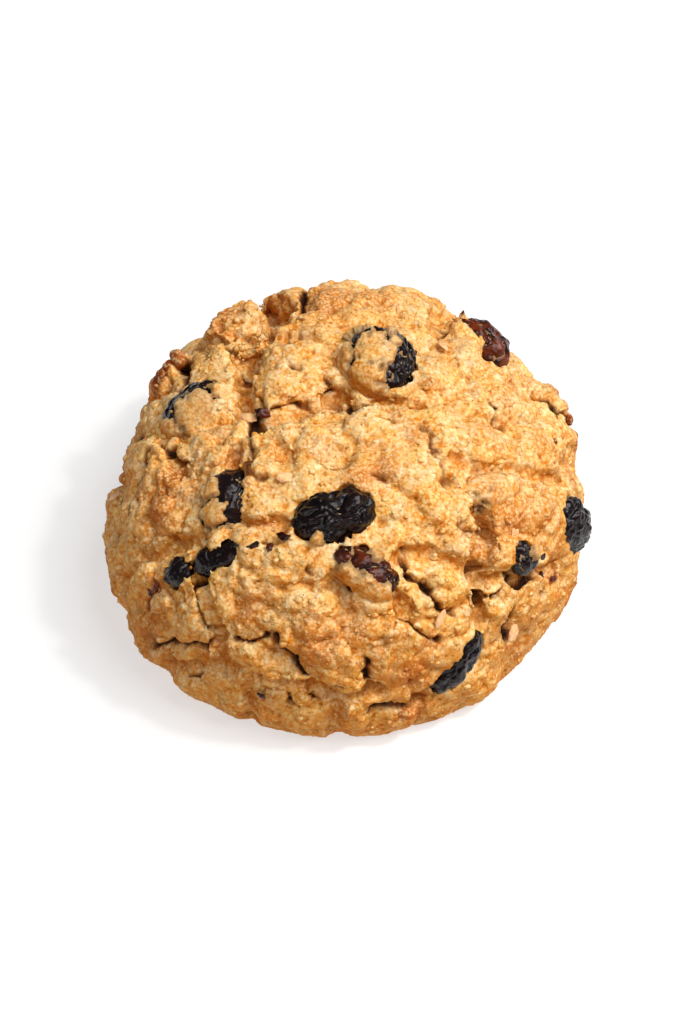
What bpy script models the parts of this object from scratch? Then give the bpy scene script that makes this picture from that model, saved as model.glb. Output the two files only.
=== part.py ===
"""Oatmeal raisin cookie: a tall drop cookie, baked from stiff dough that was scooped in clumps.

Metres, +Z up. The origin is on the tray side, under the middle of the whole cookie. +X is its right, -Y its front.
Everything on the dough is placed by two angles in degrees. The bearing runs round the cookie, anticlockwise
from +X as seen from above. The fall runs down the side: 0 at the crown, 90 at the girth, FOOT_FALL at the tray.
"""

import math

import bmesh
import bpy
from mathutils import Matrix, Vector, noise

# Driving sizes of the dough, in metres
WIDTH = 0.0835
DEPTH = 0.0875
HEIGHT = 0.0408
GIRTH_HEIGHT = 0.0075
# From the middle of the plain dome to the middle of the uneven cookie
STAND_SHIFT = Vector((-0.0002, -0.0006, 0.0))

# Shape of the dome: a superellipse from crown to girth, drawn in a little below it
CROWN_POWER = 2.5
FOOT_FALL = 108.0
FOOT_SHARE = 0.955
# The part of a ball, in degrees from its top, that becomes the dome; the rest of it becomes the base
BASE_POLAR = 126.0
# Unevenness of the plan: lobes round the edge, share of the radius, bearing of the first lobe
OUTLINE_WAVES = ((1, 0.007, 53.0), (2, 0.014, 45.0), (3, 0.017, -20.0))

# Clumps of dough: bearing, fall, size against its neighbours in mm, lift above the plain dome in mm
CLUMPS = {
    "central": (-85, 12, 15.0, 0.9),
    "small_upper": (157, 10, 10.0, 0.3),
    "ring_mound": (47, 12, 11.0, 0.4),
    "crown_back": (97, 33, 13.0, 0.6),
    "crown_right": (64, 36, 10.0, 1.1),
    "back_right": (46, 40, 7.5, 0.9),
    "knob": (124, 39, 6.6, 2.7),
    "left_shoulder": (172, 37, 11.0, -0.8),
    "left_upper": (-161, 33, 8.5, -0.1),
    "right_top": (0, 36, 14.0, 0.7),
    "right_high": (20, 50, 8.0, -2.0),
    "right_knob": (17, 64, 5.5, 3.6),
    "right_edge": (2, 70, 9.5, -0.3),
    "right": (-29, 56, 12.0, 0.9),
    "mid_right": (-55, 35, 10.5, 0.8),
    "centre_left": (-129, 25, 8.5, 0.5),
    "left_cheek": (-160, 54, 14.0, 0.2),
    "low_left": (-136, 72, 12.5, 0.9),
    "low_centre_left": (-114, 53, 12.0, 1.3),
    "low_centre": (-88, 63, 12.5, 1.4),
    "wedge": (-66, 55, 7.5, 1.0),
    "low_right": (-69, 71, 9.5, 1.2),
    "right_bottom": (-42, 78, 10.5, -1.0),
    "right_foot": (-24, 88, 8.0, -0.2),
    "rim_left": (-122, 92, 8.5, 0.6),
    "rim_front": (-102, 92, 8.5, 0.4),
    "rim_middle": (-82, 93, 8.5, 1.6),
    "rim_right": (-64, 94, 8.0, 1.4),
    "nub": (151, 60, 4.2, 2.4),
    "far_left": (172, 66, 11.5, -1.2),
    "left_foot": (-172, 84, 9.5, 0.4),
    "back_high": (97, 60, 12.0, 0.5),
    "back_left": (130, 70, 11.0, -1.2),
    "back_low": (98, 86, 10.5, 0.6),
    "back_side": (62, 66, 11.5, -1.8),
    "far_right": (36, 86, 10.5, 0.6),
    "far_foot": (150, 89, 9.0, 0.4),
}
# Seams that opened in the oven, with the depth of the crack in mm
OPEN_SEAMS = {
    ("small_upper", "left_shoulder"): 3.6,
    ("small_upper", "central"): 2.4,
    ("small_upper", "knob"): 2.6,
    ("small_upper", "crown_back"): 1.6,
    ("ring_mound", "central"): 2.0,
    ("ring_mound", "small_upper"): 1.2,
    ("knob", "crown_back"): 6.0,
    ("crown_right", "back_right"): 2.6,
    ("left_shoulder", "knob"): 2.4,
    ("left_shoulder", "nub"): 2.0,
    ("left_shoulder", "left_upper"): 1.4,
    ("left_upper", "central"): 1.2,
    ("centre_left", "left_upper"): 2.2,
    ("centre_left", "left_cheek"): 3.0,
    ("centre_left", "low_centre_left"): 2.4,
    ("left_cheek", "left_upper"): 1.2,
    ("left_cheek", "low_centre_left"): 3.2,
    ("left_cheek", "low_left"): 2.2,
    ("low_left", "low_centre_left"): 2.6,
    ("low_left", "rim_left"): 2.2,
    ("low_centre_left", "rim_front"): 2.4,
    ("low_centre", "rim_front"): 2.6,
    ("low_centre", "rim_middle"): 2.8,
    ("low_centre", "low_right"): 1.0,
    ("wedge", "mid_right"): 2.2,
    ("wedge", "low_centre"): 2.2,
    ("mid_right", "right"): 3.2,
    ("mid_right", "right_top"): 1.8,
    ("mid_right", "low_right"): 1.6,
    ("right", "right_top"): 1.8,
    ("right", "right_bottom"): 2.2,
    ("right", "right_edge"): 1.6,
    ("low_right", "right_bottom"): 3.0,
    ("low_right", "right"): 2.6,
    ("low_right", "rim_right"): 1.6,
    ("rim_left", "rim_front"): 1.6,
    ("rim_front", "rim_middle"): 2.0,
    ("rim_middle", "rim_right"): 1.8,
    ("right_high", "right_edge"): 1.6,
    ("right_high", "back_right"): 1.8,
    ("back_high", "crown_back"): 2.2,
    ("back_high", "back_left"): 2.8,
    ("back_high", "back_side"): 2.6,
    ("back_side", "far_right"): 2.2,
    ("far_left", "back_left"): 2.4,
    ("far_left", "left_foot"): 1.8,
}
# Any other seam only dents the surface
DENT_DEPTH = 0.45
# A crack's half width in mm, and how far the dough beside it is drawn down, both growing with its depth
CRACK_WIDTH, CRACK_FLARE = 0.9, 0.34
DRAW_SHARE, DRAW_WIDTH = 0.30, 2.4
# Wander of the seams, as size and reach in mm: broad bends and ragged edges. The seed fixes which way they wander.
BENDS = ((1.6, 7.0), (0.55, 2.4))
BEND_SEED = 4
# Round lumps all over, and slow swells under them, in mm: reach from one to the next, and height
LUMP_REACH = 6.8
LUMP_HEIGHT = 1.5
LUMP_LEVEL = 0.45
SWELL_REACH = 10.0
SWELL_HEIGHT = 0.6
# Towards the tray, from this fall on, the relief calms down by this share
TRAY_FALL = 94.0
TRAY_CALM = 0.6
# Faces of the ball that the dough is shaped from, as rounds of splitting, and the share kept of them
DOUGH_DETAIL = 7
DOUGH_KEEP = 0.046

# Raisins: bearing, fall, length, breadth, thickness in mm, heading, sink of the middle below the plain dome in mm.
# The heading turns the length from sideways, at 0, to up the slope, at 90.
RAISINS = {
    "raisin_centre": (-94, 29, 15.0, 9.3, 8.5, 22, 0.6),
    "raisin_red": (-83, 44, 12.0, 6.4, 6.0, -39, 0.1),
    "raisin_ring": (52, 10, 15.5, 12.5, 10.0, 140, 1.2),
    "raisin_back_right": (40, 48, 12.0, 9.0, 8.0, 23, 2.2),
    "raisin_right": (-16, 72, 12.5, 9.5, 9.0, 94, 1.4),
    "raisin_hollow": (-37, 61, 7.0, 5.4, 5.0, -61, 0.8),
    "raisin_low_right": (-62, 82, 14.5, 7.2, 6.8, 50, 1.9),
    "raisin_slit": (-31, 40, 11.0, 5.0, 5.5, -25, 2.0),
    "raisin_cheek": (-137, 34, 12.0, 9.0, 7.5, 107, 2.4),
    "raisin_long_left": (-127, 47, 12.0, 6.0, 5.8, 45, 1.8),
    "raisin_small_left": (-137, 60, 6.4, 5.0, 4.6, 56, 1.4),
    "raisin_shoulder": (174, 36, 12.5, 11.0, 7.5, 144, 2.6),
    "raisin_back_low": (104, 87, 13.0, 8.5, 8.0, 12, 2.4),
    "raisin_back_left": (131, 83, 12.0, 8.5, 7.5, 60, 1.4),
    "raisin_back_side": (70, 82, 13.0, 8.0, 7.5, 130, 2.0),
    "raisin_far_right": (38, 87, 11.5, 8.5, 7.5, 35, 1.6),
}
RAISIN_SIDES = 12
RAISIN_RINGS = 7
WRINKLE_SHARE = 0.16
WRINKLE_SCALE = 0.55
WRINKLE_RUN = 0.8
BLUNT_SHARE = 0.10
FIT_GAP = 0.0003
MM = 0.001


def outline(bearing):
    """Share of the plain radius that the cookie has at this bearing."""
    waves = (share * math.cos(math.radians(lobes * (bearing - at))) for lobes, share, at in OUTLINE_WAVES)
    return 1.0 + sum(waves)


def dome(bearing, fall):
    """The point of the plain dome at these two angles."""
    if fall <= 90.0:
        down = math.radians(fall)
        reach = math.sin(down) ** (2.0 / CROWN_POWER)
        rise = max(math.cos(down), 0.0) ** (2.0 / CROWN_POWER)
        height = GIRTH_HEIGHT + (HEIGHT - GIRTH_HEIGHT) * rise
    else:
        below = (fall - 90.0) / (FOOT_FALL - 90.0)
        reach = 1.0 - (1.0 - FOOT_SHARE) * below**2
        height = GIRTH_HEIGHT * (1.0 - below)
    reach *= outline(bearing) / 2.0
    turn = math.radians(bearing)
    return Vector((WIDTH * reach * math.cos(turn), DEPTH * reach * math.sin(turn), height))


def outward(bearing, fall):
    """The direction that the plain dome faces at these two angles."""
    if fall < 1.0:
        return Vector((0.0, 0.0, 1.0))
    middle = min(fall, FOOT_FALL - 1.0)
    around = dome(bearing + 1.0, middle) - dome(bearing - 1.0, middle)
    down = dome(bearing, middle + 1.0) - dome(bearing, middle - 1.0)
    return down.cross(around).normalized()


def smooth_step(share):
    share = min(max(share, 0.0), 1.0)
    return share * share * (3.0 - 2.0 * share)


CLUMP_MIDDLES = {name: dome(bearing, fall) / MM for name, (bearing, fall, _, _) in CLUMPS.items()}
SEAMS = {frozenset(pair): depth for pair, depth in OPEN_SEAMS.items()}


def clump_relief(place):
    """Height of the baked surface over the plain dome in mm, at a point of that dome in mm.

    Each point belongs to the clump that is nearest for its size. Where two clumps are equally near, a seam runs.
    """
    bent = place.copy()
    for size, reach in BENDS:
        bent += noise.noise_vector(place / reach) * size
    near = sorted(((bent - CLUMP_MIDDLES[name]).length / CLUMPS[name][2], name) for name in CLUMPS)
    (first_way, first), (second_way, second) = near[:2]
    first_size, second_size = CLUMPS[first][2], CLUMPS[second][2]
    to_seam = (second_way - first_way) * first_size * second_size / (first_size + second_size)
    depth = SEAMS.get(frozenset((first, second)), DENT_DEPTH)
    crack = depth * (1.0 - smooth_step(to_seam / (CRACK_WIDTH + CRACK_FLARE * depth)))
    fade = math.exp(-to_seam / DRAW_WIDTH)
    lift = CLUMPS[first][3] * (1.0 - 0.5 * fade) + CLUMPS[second][3] * 0.5 * fade
    return lift - crack - DRAW_SHARE * depth * fade


def lump_relief(place):
    """Height of the round lumps that cover every clump, in mm."""
    (nearest, *_), _ = noise.voronoi(place / LUMP_REACH)
    lump = LUMP_HEIGHT * (LUMP_LEVEL - nearest**2)
    return lump + SWELL_HEIGHT * noise.noise(place / SWELL_REACH)


def baked_point(bearing, fall):
    """The point of the dough's surface at these two angles, with clumps, seams and lumps."""
    plain = dome(bearing, fall)
    place = plain / MM
    near_tray = smooth_step((fall - TRAY_FALL) / (FOOT_FALL - TRAY_FALL))
    relief = (clump_relief(place) + lump_relief(place)) * (1.0 - TRAY_CALM * near_tray)
    point = plain + outward(bearing, fall) * relief * MM
    point.z = max(point.z, 0.0)
    return point


def bake(direction):
    """Where a point of a unit ball ends up on the cookie: most of the ball becomes the dome, the rest the base."""
    bearing = math.degrees(math.atan2(direction.y, direction.x))
    polar = math.degrees(math.acos(min(max(direction.z, -1.0), 1.0)))
    if polar < BASE_POLAR:
        return baked_point(bearing, FOOT_FALL * polar / BASE_POLAR)
    foot = baked_point(bearing, FOOT_FALL)
    share = (180.0 - polar) / (180.0 - BASE_POLAR)
    return Vector((foot.x * share, foot.y * share, 0.0))


def material(name, colour, roughness):
    """A plain Principled finish."""
    made = bpy.data.materials.new(name)
    made.use_nodes = True
    shader = made.node_tree.nodes["Principled BSDF"]
    shader.inputs["Base Color"].default_value = (*colour, 1.0)
    shader.inputs["Roughness"].default_value = roughness
    shader.inputs["Metallic"].default_value = 0.0
    return made


def new_object(name, bm, collection, finish, parent):
    mesh = bpy.data.meshes.new(name)
    bm.to_mesh(mesh)
    bm.free()
    mesh.shade_smooth()
    mesh.materials.append(finish)
    obj = bpy.data.objects.new(name, mesh)
    obj.parent = parent
    collection.objects.link(obj)
    return obj


def make_dough(collection, finish, stand):
    """The body of the cookie: one solid from tray to crown, in few faces away from the seams."""
    bm = bmesh.new()
    bmesh.ops.create_icosphere(bm, subdivisions=DOUGH_DETAIL, radius=1.0)
    for vert in bm.verts:
        vert.co = bake(vert.co.normalized())
    obj = new_object("dough", bm, collection, finish, stand)
    fewer = obj.modifiers.new("fewer_faces", "DECIMATE")
    fewer.ratio = DOUGH_KEEP
    return obj


def raisin_ball(name, swell=0.0):
    """A raisin's mesh round its own middle: a long ellipsoid, blunt at its ends, with lengthwise wrinkles."""
    _, _, length, breadth, thickness, _, _ = RAISINS[name]
    half = Vector((length, breadth, thickness)) * MM / 2.0
    seed = Vector((sum(ord(letter) for letter in name) % 97, 0.0, 0.0))
    bm = bmesh.new()
    bmesh.ops.create_uvsphere(bm, u_segments=RAISIN_SIDES, v_segments=RAISIN_RINGS, radius=1.0)
    bmesh.ops.rotate(bm, verts=bm.verts, cent=(0, 0, 0), matrix=Matrix.Rotation(math.pi / 2.0, 3, "Y"))
    for vert in bm.verts:
        along = vert.co.x
        sample = Vector((along * WRINKLE_RUN, vert.co.y, vert.co.z)) / WRINKLE_SCALE + seed
        wrinkle = 1.0 + WRINKLE_SHARE * noise.noise(sample)
        blunt = 1.0 + BLUNT_SHARE * math.sin(math.pi * min(abs(along), 1.0)) ** 2
        vert.co = Vector((half.x * along, half.y * vert.co.y * wrinkle * blunt, half.z * vert.co.z * wrinkle * blunt))
    bmesh.ops.triangulate(bm, faces=bm.faces)
    if swell:
        bm.normal_update()
        moved = [(vert, vert.co + vert.normal * swell) for vert in bm.verts]
        for vert, place in moved:
            vert.co = place
    return bm


def raisin_place(name):
    """How a raisin lies: its middle under the surface, its length along the heading, its thickness outwards."""
    bearing, fall, _, _, _, heading, sink = RAISINS[name]
    out = outward(bearing, fall)
    sideways = Vector((0.0, 0.0, 1.0)).cross(out).normalized()
    uphill = out.cross(sideways)
    turn = math.radians(heading)
    along = sideways * math.cos(turn) + uphill * math.sin(turn)
    turned = Matrix((along, out.cross(along), out)).transposed().to_4x4()
    return Matrix.Translation(dome(bearing, fall) - out * sink * MM) @ turned


def make_raisins(collection, cutters, finish, stand):
    """The raisins, and for each one a slightly larger twin that cuts its pocket in the dough."""
    for name in RAISINS:
        raisin = new_object(name, raisin_ball(name), collection, finish, stand)
        raisin.matrix_local = raisin_place(name)
        twin = new_object(name + "_pocket", raisin_ball(name, FIT_GAP), cutters, finish, stand)
        twin.matrix_local = raisin_place(name)
        twin.hide_render = True
        twin.display_type = "WIRE"


def cut_pockets(dough, cutters):
    pocket = dough.modifiers.new("pockets", "BOOLEAN")
    pocket.operation = "DIFFERENCE"
    pocket.operand_type = "COLLECTION"
    pocket.collection = cutters
    pocket.solver = "EXACT"


def new_collection(name):
    made = bpy.data.collections.new(name)
    bpy.context.scene.collection.children.link(made)
    return made


def main():
    for old in list(bpy.data.objects):
        bpy.data.objects.remove(old)
    noise.seed_set(BEND_SEED)
    cookie = new_collection("oatmeal_raisin_cookie")
    cutters = new_collection("cutters")
    stand = bpy.data.objects.new("stand", None)
    stand.location = STAND_SHIFT
    cookie.objects.link(stand)
    dough = make_dough(cookie, material("baked_dough", (0.60, 0.36, 0.15), 0.75), stand)
    make_raisins(cookie, cutters, material("raisin_skin", (0.012, 0.006, 0.006), 0.3), stand)
    cut_pockets(dough, cutters)


main()
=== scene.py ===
"""Oatmeal raisin cookie: crumbly baked dough round plump raisins, on a plain white table."""

import math
import random

import bmesh
import bpy
import numpy as np
from mathutils import Matrix, Vector, geometry, noise
from mathutils.bvhtree import BVHTree
from mathutils.kdtree import KDTree


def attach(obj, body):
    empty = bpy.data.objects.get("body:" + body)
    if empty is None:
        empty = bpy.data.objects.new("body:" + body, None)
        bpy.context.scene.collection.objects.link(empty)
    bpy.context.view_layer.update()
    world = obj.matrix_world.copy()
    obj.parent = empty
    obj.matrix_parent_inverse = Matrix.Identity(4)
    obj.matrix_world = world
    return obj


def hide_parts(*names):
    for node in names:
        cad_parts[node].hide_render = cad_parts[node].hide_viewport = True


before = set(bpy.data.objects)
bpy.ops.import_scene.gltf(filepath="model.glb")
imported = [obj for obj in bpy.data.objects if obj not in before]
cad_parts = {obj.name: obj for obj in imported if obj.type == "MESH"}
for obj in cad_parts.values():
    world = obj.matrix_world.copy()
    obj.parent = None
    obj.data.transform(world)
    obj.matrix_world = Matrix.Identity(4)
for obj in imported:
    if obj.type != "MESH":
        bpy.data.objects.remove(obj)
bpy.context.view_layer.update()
scene = bpy.context.scene
MM = 0.001
# Bends made with noise follow this seed, so that every run bakes the same cookie
NOISE_SEED = 3
noise.seed_set(NOISE_SEED)


# --------------------------------------------------------------------------------------------------
# Camera. A long lens straight in front of the cookie, looking well down on it, as one does on a plate.
CAMERA_LENS = 85.0
CAMERA_ELEVATION = math.radians(50.0)
CAMERA_DISTANCE = 0.4285
CAMERA_AIM = Vector((-0.0005, -0.0006, 0.0099))

camera = bpy.data.objects.new("camera", bpy.data.cameras.new("camera"))
scene.collection.objects.link(camera)
camera.data.lens = CAMERA_LENS
camera.data.clip_start = 0.01
towards_camera = Vector((0.0, -math.cos(CAMERA_ELEVATION), math.sin(CAMERA_ELEVATION)))
camera.location = CAMERA_AIM + towards_camera * CAMERA_DISTANCE
camera.rotation_euler = (-towards_camera).to_track_quat("-Z", "Y").to_euler()
scene.camera = camera


# --------------------------------------------------------------------------------------------------
# Table and light. A matt white table top, lit by a wide soft light over the right with a bright
# middle, a weak one over the front left, and a pale room.
TABLE_SIZE = 4.0
TABLE_COLOUR = (0.46, 0.46, 0.46)
TABLE_GLOW = 0.54
ROOM_LIGHT = 0.09
LAMPS = {
    "over_right": {"at": (0.52, -0.04, 0.83), "size": 0.90, "watts": 9.9},
    "over_right_middle": {"at": (0.52, -0.04, 0.83), "size": 0.09, "watts": 2.9},
    "over_front_left": {"at": (-0.20, -0.55, 0.80), "size": 0.80, "watts": 2.6},
}


def plain_material(name, colour, roughness):
    """A Principled finish of one colour."""
    made = bpy.data.materials.new(name)
    made.use_nodes = True
    shader = made.node_tree.nodes["Principled BSDF"]
    shader.inputs["Base Color"].default_value = (*colour, 1.0)
    shader.inputs["Roughness"].default_value = roughness
    return made


def object_of(name, bm, *finishes):
    """A smooth-shaded object made of a bmesh."""
    mesh = bpy.data.meshes.new(name)
    bm.to_mesh(mesh)
    bm.free()
    mesh.shade_smooth()
    for finish in finishes:
        mesh.materials.append(finish)
    made = bpy.data.objects.new(name, mesh)
    scene.collection.objects.link(made)
    return made


bm = bmesh.new()
bmesh.ops.create_grid(bm, x_segments=1, y_segments=1, size=TABLE_SIZE / 2.0)
table = object_of("table_top", bm, plain_material("matt_white", TABLE_COLOUR, 0.7))
table_shader = table.data.materials[0].node_tree.nodes["Principled BSDF"]
table_shader.inputs["Emission Color"].default_value = (1.0, 1.0, 1.0, 1.0)
table_shader.inputs["Emission Strength"].default_value = TABLE_GLOW

for name, lamp in LAMPS.items():
    light = bpy.data.lights.new(name, "AREA")
    light.shape = "DISK"
    light.size = lamp["size"]
    light.energy = lamp["watts"]
    holder = bpy.data.objects.new(name, light)
    holder.location = lamp["at"]
    holder.rotation_euler = (-Vector(lamp["at"])).to_track_quat("-Z", "Y").to_euler()
    scene.collection.objects.link(holder)

room = bpy.data.worlds.new("pale_room")
room.use_nodes = True
room.node_tree.nodes["Background"].inputs["Color"].default_value = (1.0, 1.0, 1.0, 1.0)
room.node_tree.nodes["Background"].inputs["Strength"].default_value = ROOM_LIGHT
scene.world = room
scene.view_settings.view_transform = "Standard"


# --------------------------------------------------------------------------------------------------
# Dough. Oats, flour, brown sugar and butter, scooped in clumps and baked until the high spots
# browned. The body is the solid's own shape in fine faces, with creases, holes, lips round the
# raisins and crumbly lumps raised over it, and is thinned last.
SEW_DISTANCE = 0.002 * MM
DOUGH_VOXEL = 0.40 * MM
DOUGH_FACES = 196000
# Rounds of smoothing: to lose the solid's facets, to find its hollows, and to find its crests
FACET_ROUNDS, HOLLOW_ROUNDS, CREST_ROUNDS = 7, 45, 5
CREST_GAIN = 1.6
# Skin that turned this far from the way it faced is drawn flatter
FOLDED_OVER, FOLD_ROUNDS = 0.05, 5
# Hollows of the solid become cracks: from what depth and over what depth, how much deeper they are
# dug, up to what depth, how much calmer the lumps are in them, and how dark their painted shade is,
# with depths in mm
CRACK_START, CRACK_SPAN = 0.25, 1.0
CRACK_GAIN, CRACK_LIMIT = 0.35, 1.3
CRACK_CALM, CRACK_SHADE = 0.3, 0.55
# A point that stands out further than this, in mm, is a spike and stays smoothed
SPIKE_LIMIT = 0.45
# Crumbly lumps, from clusters down to grains: reach from one to the next, their height, and how far
# each stands above or below the next, all in mm
LUMPS = ((7.2, 1.5, 0.30), (3.6, 1.25, 0.15), (1.4, 0.46, 0.0))
# The share that each of these gives to the tone
LUMP_TONES = (0.35, 0.50, 0.25)
# Each lump is a pebble: its radius, how much that varies and the level taken off, as shares of the
# reach. The seams between pebbles have a width in mm and a strength of painted shade.
PEBBLE_SIZE, PEBBLE_SPREAD, PEBBLE_LEVEL = 0.76, 0.10, 0.66
SEAM_WIDTH, SEAM_SHADE = 0.45, 0.35
# The lumps are bent out of line and rougher in some places than in others, with reaches in mm
BEND_REACH, BEND_WIDTH = 4.0, 0.8
ROUGH_REACH, ROUGH_LEAST, ROUGH_SPAN = 8.0, 0.7, 0.4
# The tray left the underside flat, and the lumps calm down towards it
TRAY_SKIN, TRAY_FLAT, TRAY_CALM_HEIGHT = 0.25 * MM, 0.20 * MM, 1.2 * MM
# Creases between clumps: width and depth in mm, then a route of bearings and elevations from the
# cookie's heart
CREASES = {
    "upper_left_gap": (0.9, 1.2, ((145, 50), (152, 55), (162, 60), (172, 62), (-174, 65), (-162, 67))),
    "upper_left_fold": (0.9, 0.6, ((142, 44), (146, 51))),
    "knob_fold": (0.9, 0.6, ((134, 47), (127, 49), (121, 47))),
    "under_upper_clump": (0.7, 0.9, ((-162, 67), (-165, 73), (-160, 78), (-140, 82), (-100, 86))),
    "brown_valley": (1.1, 0.9, ((-162, 66), (-156, 61), (-144, 58), (-140, 54))),
    "under_ring": (0.8, 1.3, ((133, 81), (150, 86), (-90, 87), (-60, 84), (-35, 82), (-10, 75))),
    "crown_nick": (0.6, 0.9, ((141, 69), (148, 76))),
    "shoulder_foot": (0.7, 1.1, ((-175, 37), (-166, 40), (-160, 41), (-155, 45))),
    "left_edge": (0.9, 1.1, ((-173, 35), (-168, 30), (-164, 26), (-158, 22))),
    "over_cheek": (1.0, 0.9, ((-140, 52), (-130, 54), (-122, 57))),
    "middle_nick": (0.5, 0.9, ((-110, 66), (-100, 63), (-90, 64), (-84, 66))),
    "over_centre": (0.7, 0.9, ((-76, 61), (-68, 57))),
    "crown_line": (0.4, 0.7, ((-51, 77), (-40, 70))),
    "middle_right": (0.9, 0.6, ((-32, 67), (-35, 62), (-42, 56), (-46, 51), (-40, 50))),
    "slit_top": (0.45, 1.8, ((-34, 42), (-30, 40), (-26, 38))),
    "slit_way": (0.7, 1.9, ((-39, 48), (-40, 44), (-47, 41))),
    "slit_foot": (0.45, 1.8, ((-40, 43), (-33, 39))),
    "right_bend": (0.6, 0.7, ((3, 51), (-4, 49), (-9, 48), (-6, 44))),
    "right_shallow": (0.8, 0.6, ((-47, 41), (-53, 41), (-46, 35))),
    "right_crack": (0.8, 1.9, ((-52, 30), (-54, 26), (-55, 22), (-57, 18))),
    "right_crack_arm": (0.7, 1.3, ((-55, 23), (-50, 21), (-45, 22))),
    "under_hollow": (1.0, 1.6, ((-44, 24), (-42, 19), (-34, 18))),
    "low_right": (0.7, 1.2, ((-45, 14), (-47, 8), (-45, 1))),
    "front_right": (0.7, 1.5, ((-71, 40), (-72, 36), (-68, 31), (-66, 26), (-62, 23))),
    "front_right_low": (0.6, 1.6, ((-76, 28), (-74, 24), (-69, 19))),
    "front_left": (0.9, 1.8, ((-127, 31), (-128, 26), (-124, 21), (-120, 18))),
    "left_foot": (0.8, 1.4, ((-120, 17), (-123, 13), (-130, 8), (-139, 1))),
    "front_step": (0.6, 1.7, ((-116, 19), (-111, 20), (-107, 23))),
    "front_foot": (0.9, 1.6, ((-107, 23), (-104, 19), (-99, 15), (-94, 11), (-90, 11))),
    "left_hollow": (1.2, 1.4, ((-127, 1), (-124, 4), (-121, 2))),
    "foot_split_left": (0.7, 1.5, ((-102, 8), (-102, 3))),
    "foot_split": (1.0, 2.0, ((-94, 10), (-97, 5))),
    "front_split": (0.6, 1.8, ((-85, 19), (-85, 10))),
    "foot_shelf": (1.0, 1.3, ((-73, 1), (-79, 2), (-85, 3))),
    "far_left": (0.8, 1.4, ((-137, 21), (-140, 15), (-140, 9))),
    "under_cheek": (0.6, 1.0, ((-120, 40), (-112, 41))),
    "front_nick_a": (0.5, 1.1, ((-114, 38), (-111, 37))),
    "front_nick_b": (0.5, 0.9, ((-114, 33), (-111, 34))),
    "front_nick_c": (0.6, 1.1, ((-101, 38), (-98, 36))),
    "back_left_gap": (1.3, 1.9, ((160, 40), (150, 34), (143, 27), (139, 18), (136, 8))),
    "back_gap": (1.4, 1.9, ((110, 52), (104, 44), (98, 34), (101, 24), (96, 12))),
    "back_arm": (0.9, 1.2, ((98, 34), (90, 31), (82, 33), (74, 28))),
    "back_right_gap": (1.1, 1.7, ((48, 48), (52, 38), (47, 28), (50, 16), (46, 6))),
    "right_side_gap": (1.0, 1.5, ((18, 30), (12, 24), (14, 16), (8, 8))),
    "back_foot": (1.0, 1.4, ((128, 14), (120, 10), (112, 12), (104, 8))),
    "back_foot_right": (0.9, 1.3, ((78, 12), (70, 15), (62, 10), (56, 13))),
    "top_left_notch": (0.8, 0.5, ((122, 52), (117, 42), (114, 30), (112, 20))),
    "left_side_gap": (1.0, 1.1, ((178, 30), (173, 22), (176, 14), (170, 6))),
}
# Deep holes between clumps: bearing, elevation, radius and depth in mm
HOLES = {
    "front_left": (-122, 13, 1.4, 2.6),
    "upper_left": (127, 51, 0.9, 1.0),
    "right": (-36, 17, 1.2, 1.9),
    "low_right": (-35, 11, 1.2, 1.9),
    "foot": (-96, 6, 1.2, 1.8),
    "foot_left": (-102, 5, 0.8, 1.3),
    "front": (-85, 13, 0.8, 1.4),
    "under_ring": (-84, 86, 1.1, 1.3),
    "right_top": (-1, 49, 0.7, 1.1),
    "near_front_right": (-69, 32, 0.7, 1.2),
    "front_right_low": (-68, 19, 0.9, 1.2),
    "middle": (-89, 34, 0.6, 0.8),
    "left": (-167, 28, 1.2, 1.4),
    "back": (100, 30, 1.2, 1.8),
    "back_left": (140, 22, 1.1, 1.5),
    "back_right": (50, 24, 1.0, 1.5),
}
# Creases are marked at this step, taper over a few steps at each end, and vary along their length
CREASE_STEP, TAPER_STEPS = 0.33 * MM, 5.0
CREASE_WIDENING, CREASE_DEEPENING = 1.15, 1.15
UNEVEN_REACH, UNEVEN_LEAST, UNEVEN_MOST = 2.2 * MM, 0.7, 1.3
# A crease as deep as this in mm is painted quite dark with shade, and the clumps round off towards it
DARK_DEPTH = 1.5
SHOULDER_REACH, SHOULDER_DROP = 3.2, 0.7
# The sides of creases wander, in wide bends and in fine ones: reach, and how far in mm
WOBBLE_WIDE_REACH, WOBBLE_WIDE = 2.2 * MM, 0.75
WOBBLE_FINE_REACH, WOBBLE_FINE = 0.8 * MM, 0.30
# Lips of dough round the raisins: reach, rise and pull towards the raisin in mm, how much calmer
# the lumps are there, the reach of their unevenness, and no lip lower than this
LIP_REACH, LIP_RISE, LIP_PULL, LIP_CALM = 1.8, 0.75, 0.85, 0.8
LIP_UNEVEN_REACH, LIP_LOWEST = 2.4 * MM, 2.0 * MM
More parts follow.
